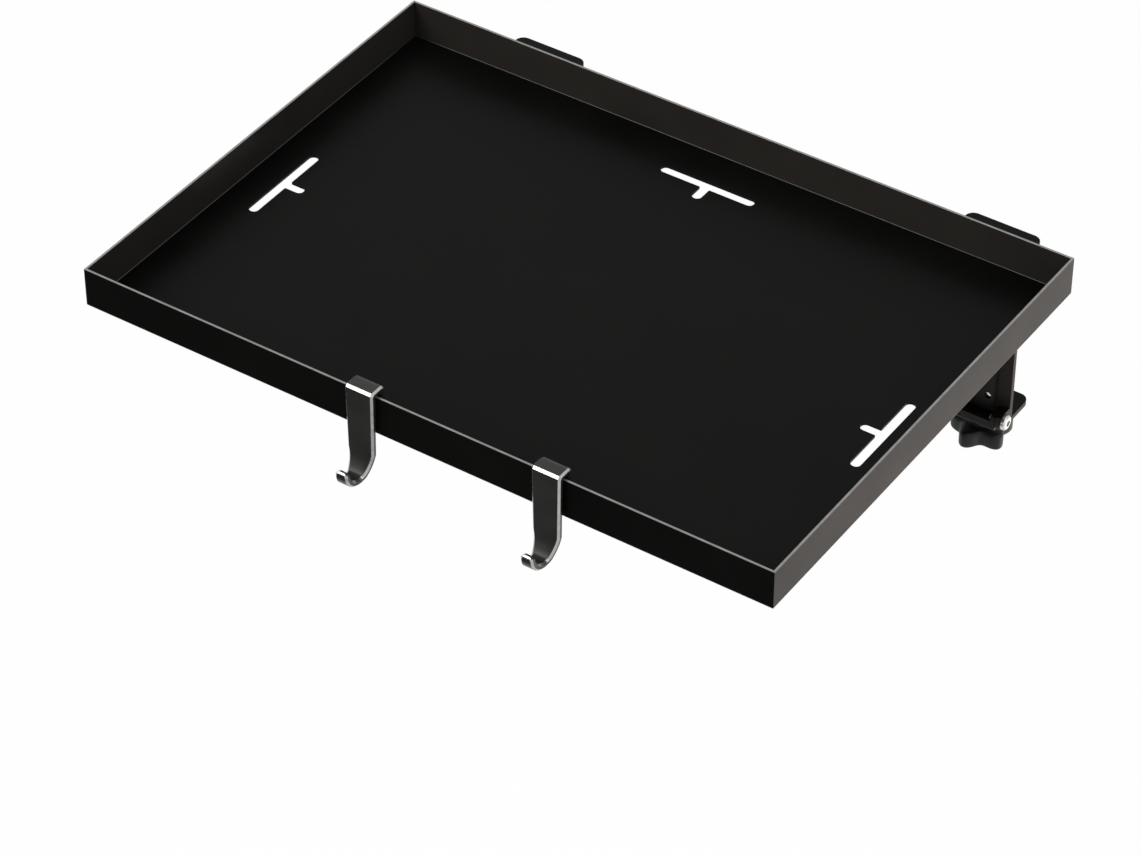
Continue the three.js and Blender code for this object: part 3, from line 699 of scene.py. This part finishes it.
stud = threaded_rod(STUD_RADIUS, STUD_PITCH, *STUD_ENDS, width=0.4)
smoothed(stud, angle=50)
for number, (x, y) in enumerate(STUD_PLACES):
    hung(copied(stud, (x, y, 0)), f"weld_stud_{number + 1}", "tray", (ZINC,))
thrown_away(stud)
print("studs:", len(STUD_PLACES))

# %% [markdown]
# ## The clamp's plates
# The bracket, the hinge base, the lower jaw and the tray bracket are pressed steel with a few
# holes, and their solids already have the right shape. A copy of each is enough: its loose
# triangles are merged, flat faces are joined up again, and every edge is eased as powder coat
# eases it. Nothing is drawn twice, and nothing can drift from the frame. Faces that lie flat get the
# floor's finish, and upright ones the walls' lighter colour, which is painted light.

# %% Plates from the frame
PLATE_WELD = 0.000005
FLAT_WITHIN = math.radians(1)
FLAT_LYING = 0.7


def from_frame(node):
    """A clean copy of a CAD node of the left clamp, shifted to the middle."""
    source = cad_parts[node]
    piece = source.copy()
    piece.data = source.data.copy()
    piece.parent = None
    piece.matrix_world = Matrix.Identity(4)
    bpy.context.scene.collection.objects.link(piece)
    piece.data.transform(Matrix.Translation(Vector((-CLAMPS["left"], 0, 0)) * MM))
    editing(piece)
    bpy.ops.mesh.select_all(action="SELECT")
    bpy.ops.mesh.remove_doubles(threshold=PLATE_WELD)
    bpy.ops.mesh.dissolve_limited(angle_limit=FLAT_WITHIN)
    edited()
    bpy.ops.mesh.customdata_custom_splitnormals_clear()
    return piece


# each node with its piece's name, its body and how wide its edges are eased
PLATES = {
    "clamp_bracket": ("bracket_plate", "clamps", 0.35),
    "hinge_base": ("hinge_plate", "clamps", 0.35),
    "lower_jaw": ("jaw_plate", "clamps", 0.35),
    "tray_bracket": ("tray_channel", "tray", 0.3),
}
for node, (name, body, width) in PLATES.items():
    plate = from_frame(f"left_{node}")
    edges_eased(plate, width)
    smoothed(plate, angle=45)
    evened(plate)
    # painted light: upright faces take the lighter wall colour
    for face in plate.data.polygons:
        face.material_index = 0 if abs(face.normal.z) > FLAT_LYING else 1
    on_both_clamps(plate, name, node, body, "black_coat", COAT, LIT_WALL_COAT)
    print(name, "made")

LINER_EASED = 0.25
liner = from_frame("left_top_liner")
edges_eased(liner, LINER_EASED)
smoothed(liner)
on_both_clamps(liner, "liner_strip", "top_liner", "clamps", "grip_rubber", RUBBER)
print("liner_strip made")

# %% [markdown]
# ## Rivets, bolts, nuts and washers
# Every fastener is turned, so each is a profile for the lathe. A head gets its hexagon socket from
# a six-sided tool, a nut is a six-sided block kept inside a double cone, which gives its corners
# the curved chamfer of a real nut, and what shows of a bolt beyond its nut is threaded.

# %% Rivets
RIVETS = {"upper": -32.5, "lower": -66.5}
rivet = lathed([(2.4, 0), (2.4, 5.7), (4, 5.7), (4, 6.3), (3.75, 6.85), (3.2, 7.25), (2.3, 7.48),
                (0.8, 7.5)])
laid(rivet, (90, "X"))
smoothed(rivet)
for place, level in RIVETS.items():
    on_both_clamps(copied(rivet, (0, 0, level)), f"rivet_head_{place}", f"rivet_{place}", "clamps",
                   "black_coat", COAT)
thrown_away(rivet)
print("rivets done")

# %% Bolts, nuts and washers
HINGE_Y, HINGE_Z = -18.5, -8.5
JAW_BOLT_Y, JAW_BOLT_Z = -9, -97.5
HEAD_SHAPE = ((0.72, -1), (0.86, -0.9), (0.96, -0.72), (1, -0.5))
SOCKET_FLATS, SOCKET_BOTTOM = 0.8, -0.4
BORE_EASE = 0.5


def hexagon(flats, low, high):
    """A six-sided block about Z, given its size across the flats."""
    bpy.ops.mesh.primitive_cylinder_add(vertices=6, radius=flats / math.sqrt(3) * MM,
                                        depth=(high - low) * MM, location=(0, 0, (low + high) / 2 * MM))
    piece = choose(bpy.context.object)
    bpy.ops.object.transform_apply(location=True)
    return piece


def bolt(radius, pitch, head_radius, head, length, plain):
    """A round-headed bolt: its seat at zero, its head below and its shank up along Z.

    The head's shape and socket are given as shares of its radius and of its height.
    """
    body = lathed([(across * head_radius, up * head) for across, up in HEAD_SHAPE] + [
        (head_radius, -0.1), (head_radius - 0.1, 0), (radius, 0), (radius, plain),
        (radius - 0.45, plain + 0.3),
    ])
    cut(body, hexagon(SOCKET_FLATS * head_radius, -head - 1, SOCKET_BOTTOM * head))
    cut(body, threaded_rod(radius, pitch, plain + 0.1, length, width=0.5), "UNION")
    smoothed(body, angle=38)
    return body


def nut(flats, height, bore):
    """A hexagon nut from zero up along Z, with chamfered corners."""
    corner = flats / math.sqrt(3)
    flat = flats / 2
    rise = 0.5 * (corner - flat) + 0.35
    blank = hexagon(flats, 0, height)
    cone = lathed([(flat - 0.2, 0), (corner, rise), (corner + 0.3, rise), (corner + 0.3, height - rise),
                   (corner, height - rise), (flat - 0.2, height)], sides=48)
    cut(blank, cone, "INTERSECT")
    wide = bore + BORE_EASE
    cut(blank, lathed([(wide, -1), (wide, 0), (bore, BORE_EASE), (bore, height - BORE_EASE),
                       (wide, height), (wide, height + 1)]))
    smoothed(blank, angle=30)
    return blank


def washer(inner, outer, thick):
    """A ring from zero up along Z, with its outer edges eased."""
    ease = 0.18
    ring = lathed([(inner, 0), (outer - ease, 0), (outer, ease), (outer, thick - ease),
                   (outer - ease, thick), (inner, thick), (inner, 0)])
    smoothed(ring)
    return ring


# %% Hinge bolt
HEAD_SEAT, WASHER_SEAT, NUT_SEAT = -13.7, -13.6, 12.6
SPACERS = {"left": -9.85, "right": 9.15}

hinge_bolt = bolt(radius=3, pitch=1, head_radius=5, head=3.3, length=32.8, plain=30.5)
laid(hinge_bolt, (90, "Y"), (HEAD_SEAT, HINGE_Y, HINGE_Z))
on_both_clamps(hinge_bolt, "pivot_bolt", "hinge_bolt", "clamps", "zinc_steel", ZINC)
hinge_nut = laid(nut(flats=10, height=5, bore=3.05), (90, "Z"))
laid(hinge_nut, (90, "Y"), (NUT_SEAT, HINGE_Y, HINGE_Z))
on_both_clamps(hinge_nut, "pivot_nut", "hinge_nut", "clamps", "zinc_steel", ZINC)
hinge_washer = washer(inner=3.15, outer=6.2, thick=1)
laid(hinge_washer, (90, "Y"), (WASHER_SEAT, HINGE_Y, HINGE_Z))
on_both_clamps(hinge_washer, "pivot_washer", "hinge_washer", "clamps", "zinc_steel", ZINC)
for place, low in SPACERS.items():
    spacer = laid(washer(inner=3.15, outer=7, thick=0.7), (90, "Y"), (low, HINGE_Y, HINGE_Z))
    on_both_clamps(spacer, f"nylon_washer_{place}", f"friction_washer_{place}", "clamps", "nylon", NYLON)
print("hinges done")

# %% Jaw bolts and stud nuts
JAW_BOLT_SEAT = 21.6
STUD_NUT_TOP = 11.8

for place, hand in (("left", -1), ("right", 1)):
    jaw_bolt = bolt(radius=2, pitch=0.7, head_radius=4.2, head=2.6, length=7.9, plain=3.2)
    laid(jaw_bolt, (-90 * hand, "Y"), (hand * JAW_BOLT_SEAT, JAW_BOLT_Y, JAW_BOLT_Z))
    on_both_clamps(jaw_bolt, f"side_bolt_{place}", f"jaw_bolt_{place}", "clamps", "zinc_steel", ZINC)
for place, y in STUD_ROWS.items():
    stud_nut = laid(nut(flats=7, height=3.2, bore=2.05), (180, "X"), (0, y, STUD_NUT_TOP))
    on_both_clamps(stud_nut, f"stud_hexagon_{place}", f"stud_nut_{place}", "tray", "zinc_steel", ZINC)

# %% [markdown]
# ## The clamp screw, its bush and its pad
# The knob turns a steel screw in a threaded bush, and the screw lifts a swivelling pad against the
# rail. The screw is threaded as the studs are, 1.25 mm a turn. The bush, the pad's steel cup and
# its rubber face could be joined from rings, but each is round all along, so one profile for the
# lathe is enough. Nothing of the bush's own thread can be seen, so its bore stays plain.

# %% Screw, bush and pad
SCREW_Y = 8.6
SCREW_RADIUS, SCREW_BORE = 4, 4.15
SCREW_ENDS = (-123.1, -22.9)
SCREW_PITCH = 1.25

screw = threaded_rod(SCREW_RADIUS, SCREW_PITCH, *SCREW_ENDS, width=0.8)
laid(screw, (0, "Z"), (0, SCREW_Y, 0))
smoothed(screw, angle=50)
on_both_clamps(screw, "lifting_screw", "clamp_screw", "{side}_screw", "zinc_steel", ZINC)

bush = lathed([(SCREW_BORE, -111.1), (7.2, -111.1), (7.5, -110.8), (7.5, -103.4), (7.2, -103.1),
               (5.7, -103.1), (5.7, -100.2), (5.5, -100), (4.4, -100), (SCREW_BORE, -100.25),
               (SCREW_BORE, -111.1)], sides=56)
smoothed(laid(bush, (0, "Z"), (0, SCREW_Y, 0)))
on_both_clamps(bush, "nut_bush", "thread_bush", "clamps", "zinc_steel", ZINC)

cup = lathed([(SCREW_BORE, -22.6), (SCREW_BORE, -28.1), (5.4, -28.1), (5.6, -27.8), (5.6, -24),
              (5.7, -23.6), (6, -23), (6.3, -22.6), (6.4, -22.2), (6.4, -20.35), (6.15, -20.1)], sides=56)
smoothed(laid(cup, (0, "Z"), (0, SCREW_Y, 0)))
on_both_clamps(cup, "pad_shell", "pad_cup", "{side}_pad", "zinc_steel", ZINC)

face = lathed([(6.15, -20), (6.4, -19.7), (6.4, -18.4), (6, -18), (4.7, -18), (4.5, -18.3), (4.1, -18.3),
               (3.9, -18), (2.3, -18), (2.1, -18.3), (1.7, -18.3), (1.5, -18), (0.6, -18)], sides=56)
smoothed(laid(face, (0, "Z"), (0, SCREW_Y, 0)), angle=30)
on_both_clamps(face, "pad_face", "pad_rubber", "{side}_pad", "grip_rubber", RUBBER)
print("screws and pads done")

# %% [markdown]
# ## The star knob
# The knob is moulded in black plastic, with five rounded lobes and a hub that runs up to the bush.
# Five cylinders round a disc would leave creases between them. Instead one circle is drawn in and
# out in a smooth wave, extruded to its height, and its edges are bevelled as a mould leaves them.

# %% Knob
KNOB_LOW, KNOB_HIGH, HUB_HIGH = -127.4, -116.9, -111.4
KNOB_RADIUS, KNOB_VALLEY, LOBES = 17.05, 11.7, 5
KNOB_TURN = math.radians(46)
KNOB_POINTS, KNOB_EASE = 120, 2.2

bpy.ops.mesh.primitive_circle_add(vertices=KNOB_POINTS, radius=KNOB_RADIUS * MM, fill_type="NGON")
knob = choose(bpy.context.object)
for point in knob.data.vertices:
    angle = math.atan2(point.co.y, point.co.x)
    wave = math.cos(LOBES * (angle - KNOB_TURN))
    radius = (KNOB_RADIUS + KNOB_VALLEY + (KNOB_RADIUS - KNOB_VALLEY) * wave) / 2
    point.co = Vector((radius * math.cos(angle), radius * math.sin(angle), KNOB_LOW)) * MM
editing(knob)
bpy.ops.mesh.select_all(action="SELECT")
rise = Vector((0, 0, KNOB_HIGH - KNOB_LOW)) * MM
bpy.ops.mesh.extrude_region_move(TRANSFORM_OT_translate={"value": rise})
bpy.ops.mesh.select_all(action="SELECT")
bpy.ops.mesh.normals_make_consistent(inside=False)
pick("EDGE", lambda one, other: abs(one.z - other.z) < NEAR)
bpy.ops.mesh.bevel(offset=KNOB_EASE * MM, segments=5, profile=0.5, affect="EDGES")
edited()
in_order(knob)
print("knob star:", len(knob.data.polygons), "faces")

# %% Knob: hub, recess and bore
hub = lathed([(9.1, KNOB_HIGH - 1), (9.1, KNOB_HIGH), (8.4, KNOB_HIGH + 0.3), (8, KNOB_HIGH + 0.9),
              (8, HUB_HIGH - 0.8), (7.8, HUB_HIGH - 0.25), (7.3, HUB_HIGH)], sides=60)
cut(knob, hub, "UNION")
recess = lathed([(8.2, KNOB_LOW - 1), (8.2, KNOB_LOW), (7.6, KNOB_LOW + 0.8), (7.2, KNOB_LOW + 1.1)],
                sides=60)
cut(knob, recess)
bore = lathed([(SCREW_BORE, HUB_HIGH - 12), (SCREW_BORE, HUB_HIGH - 0.4), (4.6, HUB_HIGH),
               (4.6, HUB_HIGH + 1)])
cut(knob, bore)
smoothed(knob, angle=35)
laid(knob, (0, "Z"), (0, SCREW_Y, 0))
on_both_clamps(knob, "knob_star", "star_knob", "{side}_screw", "black_plastic", PLASTIC)
print("knobs done")

# %% [markdown]
# ## The hooks
# Each hook is one strip of plated steel, 3.5 mm thick. It goes over the tray's front wall, narrows
# down its leg and sweeps forward, and a sharper bend leads into the J. It could be cut from a solid,
# but a strip is bent, so it is made as it is bent: a small rectangle is extruded from station to
# station, and turned and narrowed at each. The front corner is pressed sharp with a narrow flat on
# it, the back one is round.

# %% Hook: the stations
HOOK_SHEET = 3.5
HOOK_TOP, HOOK_FRONT, HOOK_BACK = 40.8, -308.3, -296.8
INNER_END = 23
BACK_BEND, BACK_STEPS = 4.35, 8
FLAT, FLAT_INSIDE = 1.2, 0.5
LEG_START = 36.45
LEG_LEVELS = (30, 21, 12, 6, 2.4)
WIDTHS = ((0, 16.2), (34, 15.3), (46, 10.7), (48.6, 9.4), (64, 7))
BENDS = ((16.3, 42, 10), (4.4, 35, 6), (7.9, 110, 20))
TIP_RISE, TIP_ROUND = 0.9, 2
TIP_SHARES = (0.4, 0.7, 0.9, 1)
TIP_SMALLEST = 0.4


def width_at(down):
    """The strip's width at a distance down the front leg, straight between the measured places."""
    for (above, width), (below, narrower) in zip(WIDTHS, WIDTHS[1:]):
        if down < below:
            return width + (narrower - width) * max(down - above, 0) / (below - above)
    return WIDTHS[-1][1]


def saddle_stations():
    """From the inner leg's end over the wall to the pressed front corner."""
    wide = WIDTHS[0][1]
    inner = HOOK_BACK - HOOK_SHEET
    rows = [(Vector((HOOK_BACK, INNER_END)), Vector((inner, INNER_END)), wide)]
    middle = Vector((HOOK_BACK - BACK_BEND, HOOK_TOP - BACK_BEND))
    for step in range(BACK_STEPS + 1):
        angle = math.pi * step / (2 * BACK_STEPS)
        way = Vector((math.cos(angle), math.sin(angle)))
        rows.append((middle + way * BACK_BEND, middle + way * (BACK_BEND - HOOK_SHEET), wide))
    corner = Vector((HOOK_FRONT, HOOK_TOP))
    inside = corner + Vector((HOOK_SHEET, -HOOK_SHEET))
    rows.append((corner + Vector((FLAT, 0)), inside + Vector((FLAT_INSIDE, 0)), wide))
    rows.append((corner - Vector((0, FLAT)), inside - Vector((0, FLAT_INSIDE)), wide))
    return rows


def leg_places():
    """Centre line from the top of the front leg to the tip: place, turn and distance gone."""
    leg = HOOK_FRONT + HOOK_SHEET / 2
    places = [(Vector((leg, level)), 0, LEG_START - level) for level in LEG_LEVELS]
    for radius, by, steps in BENDS:
        start, turn, gone = places[-1]
        pivot = start + radius * Vector((-math.cos(turn), math.sin(turn)))
        for step in range(1, steps + 1):
            angle = turn + math.radians(by) * step / steps
            place = pivot + radius * Vector((math.cos(angle), -math.sin(angle)))
            places.append((place, angle, gone + radius * (angle - turn)))
    start, turn, gone = places[-1]
    along = Vector((-math.sin(turn), -math.cos(turn)))
    places += [(start + along * TIP_RISE * share, turn, gone + TIP_RISE * share)
               for share in TIP_SHARES]
    return places


def hook_stations():
    """Each station: the strip's outer face and its inner face, in (Y, Z), and its width."""
    rows = saddle_stations()
    places = leg_places()
    length = places[-1][2]
    for place, turn, gone in places:
        left = min(1, (length - gone) / TIP_ROUND)
        size = max(TIP_SMALLEST, math.sqrt(1 - (1 - left) ** 2))
        front = Vector((-math.cos(turn), math.sin(turn))) * HOOK_SHEET / 2 * size
        rows.append((place + front, place - front, width_at(gone) * size))
    return rows


rows = hook_stations()
print(len(rows), "stations")

# %% Hook: extruded along its stations
def turned_by(degrees, middle):
    """Without a window, rotate turns the other way, so the sign is changed here."""
    bpy.ops.transform.rotate(value=-math.radians(degrees), orient_axis="X", center_override=middle)


def swept(rows):
    """Extrudes a rectangle from station to station. It is squared up for each change of size."""
    outer, inner, width = rows[0]
    thick = (outer - inner).length
    middle = Vector((0, *(outer + inner) / 2)) * MM
    bpy.ops.mesh.primitive_plane_add(size=1, location=middle)
    strip = choose(bpy.context.object)
    strip.scale = Vector((width, thick, 1 / MM)) * MM
    bpy.ops.object.transform_apply(location=True, scale=True)
    editing(strip)
    bpy.ops.mesh.select_all(action="SELECT")
    turn = 0
    for outer, inner, new_width in rows[1:]:
        across = outer - inner
        new_middle = Vector((0, *(outer + inner) / 2)) * MM
        new_turn = math.degrees(math.atan2(across.y, across.x))
        step = new_middle - middle
        bpy.ops.mesh.extrude_region_move(TRANSFORM_OT_translate={"value": step})
        turned_by(-turn, new_middle)
        size = (new_width / width, across.length / thick, 1)
        bpy.ops.transform.resize(value=size, center_override=new_middle)
        turned_by(new_turn, new_middle)
        middle, turn, width, thick = new_middle, new_turn, new_width, across.length
    bpy.ops.mesh.select_all(action="SELECT")
    bpy.ops.mesh.normals_make_consistent(inside=False)
    edited()
    return in_order(strip)


hook = swept(rows)
low = [min(point.co[i] for point in hook.data.vertices) / MM for i in range(3)]
high = [max(point.co[i] for point in hook.data.vertices) / MM for i in range(3)]
print("hook from", [round(value, 1) for value in low], "to", [round(value, 1) for value in high])

# %% [markdown]
# The hook's long edges are found by their sharpness and bevelled in edit mode, where the bevel may
# be wider than the short steps in the bends, and where its own faces can take the bright finish, a
# painted highlight that makes them shine against the dark faces. The narrow flat along the front
# corner and the tip get the same painted highlight.

# %% Hook: bevelled edges with a painted highlight
EDGE_BEVEL = 1
BEVEL_FROM = math.radians(60)
TIP_REACH = 1.8
CORNER_REACH = 2
SLANTED = 0.5
HOOK_PLACES = {"left": -30.6, "right": 76.8}

hook.data.materials.append(NICKEL)
hook.data.materials.append(EDGE_HIGHLIGHT_METAL)
tip = Vector((0, *leg_places()[-1][0]))
editing(hook)
bpy.ops.mesh.select_mode(type="EDGE")
bpy.ops.mesh.select_all(action="DESELECT")
bpy.ops.mesh.edges_select_sharp(sharpness=BEVEL_FROM)
shape = bmesh.from_edit_mesh(hook.data)
for edge in shape.edges:
    ends = [point.co / MM - tip for point in edge.verts]
    if max(end.yz.length for end in ends) < TIP_REACH:
        edge.select_set(False)
bmesh.update_edit_mesh(hook.data)
# the bevel's faces take the bright metal, a painted highlight along the edges
bpy.ops.mesh.bevel(offset=EDGE_BEVEL * MM, segments=1, affect="EDGES", clamp_overlap=False, material=1)
edited()
# painted highlight: the front flat and the tip take the bright metal too
for face in hook.data.polygons:
    middle, normal = face.center / MM, face.normal
    pressed = middle.z > HOOK_TOP - CORNER_REACH and normal.y < -SLANTED and normal.z > SLANTED
    if pressed or (middle - tip).yz.length < TIP_REACH:
        face.material_index = 1
smoothed(hook, angle=25)
for side, place in HOOK_PLACES.items():
    piece = copied(hook, (place, 0, 0))
    hung(piece, f"{side}_hook_strip", f"hook_{side}", (NICKEL, EDGE_HIGHLIGHT_METAL), [f"hook_{side}"])
thrown_away(hook)
